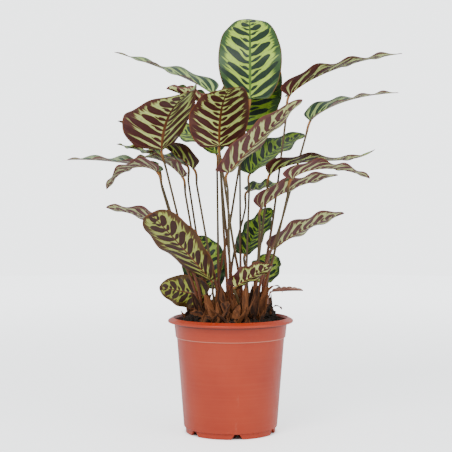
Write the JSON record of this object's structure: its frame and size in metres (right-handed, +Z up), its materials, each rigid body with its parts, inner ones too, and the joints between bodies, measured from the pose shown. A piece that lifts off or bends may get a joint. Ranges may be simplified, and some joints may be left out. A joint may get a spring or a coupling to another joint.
{
  "type": "potted plant",
  "caption": "Peacock calathea with patterned oval leaves on thin stalks, rooted in a soil-filled terracotta-coloured plastic nursery pot.",
  "frame": {"origin": "on the pot's axis, at the floor that the pot stands on", "axes": "+Z up; +X to the right and +Y away, as the picture sees the plant"},
  "size_m": [0.4702, 0.2673, 0.573],
  "materials": {
    "pot": "satin moulded plastic, terracotta coloured",
    "soil": "dark crumbly potting soil",
    "leaf": "smooth, patterned in dark and pale green above and in maroon and cream below",
    "dry_leaf": "dry and papery, pinkish brown",
    "sheath": "dry and papery, brown"
  },
  "bodies": {
    "root": {"pot": "pot", "soil": "soil", "leaf_01": "leaf", "leaf_02": "leaf", "leaf_03": "leaf", "leaf_04": "leaf", "leaf_05": "leaf", "leaf_06": "leaf", "leaf_07": "leaf", "leaf_08": "leaf", "leaf_09": "leaf", "leaf_10": "leaf", "leaf_11": "leaf", "leaf_12": "leaf", "leaf_13": "leaf", "leaf_14": "leaf", "leaf_15": "leaf", "leaf_16": "leaf", "leaf_17": "leaf", "leaf_18": "leaf", "leaf_19": "leaf", "leaf_20": "leaf", "leaf_21": "leaf", "leaf_22": "leaf", "leaf_23": "leaf", "leaf_24": "leaf", "leaf_25": "leaf", "leaf_26": "leaf", "leaf_27": "leaf", "leaf_28": "leaf", "dry_leaf": "dry_leaf", "sheath_01": "sheath", "sheath_02": "sheath", "sheath_03": "sheath", "sheath_04": "sheath", "sheath_05": "sheath", "sheath_06": "sheath", "sheath_07": "sheath", "sheath_08": "sheath", "sheath_09": "sheath", "sheath_10": "sheath", "sheath_11": "sheath", "sheath_12": "sheath", "sheath_13": "sheath", "sheath_14": "sheath", "sheath_15": "sheath", "sheath_16": "sheath", "sheath_17": "sheath", "sheath_18": "sheath", "sheath_19": "sheath", "root_strap_01": "sheath", "root_strap_02": "sheath"}
  },
  "joints": []
}
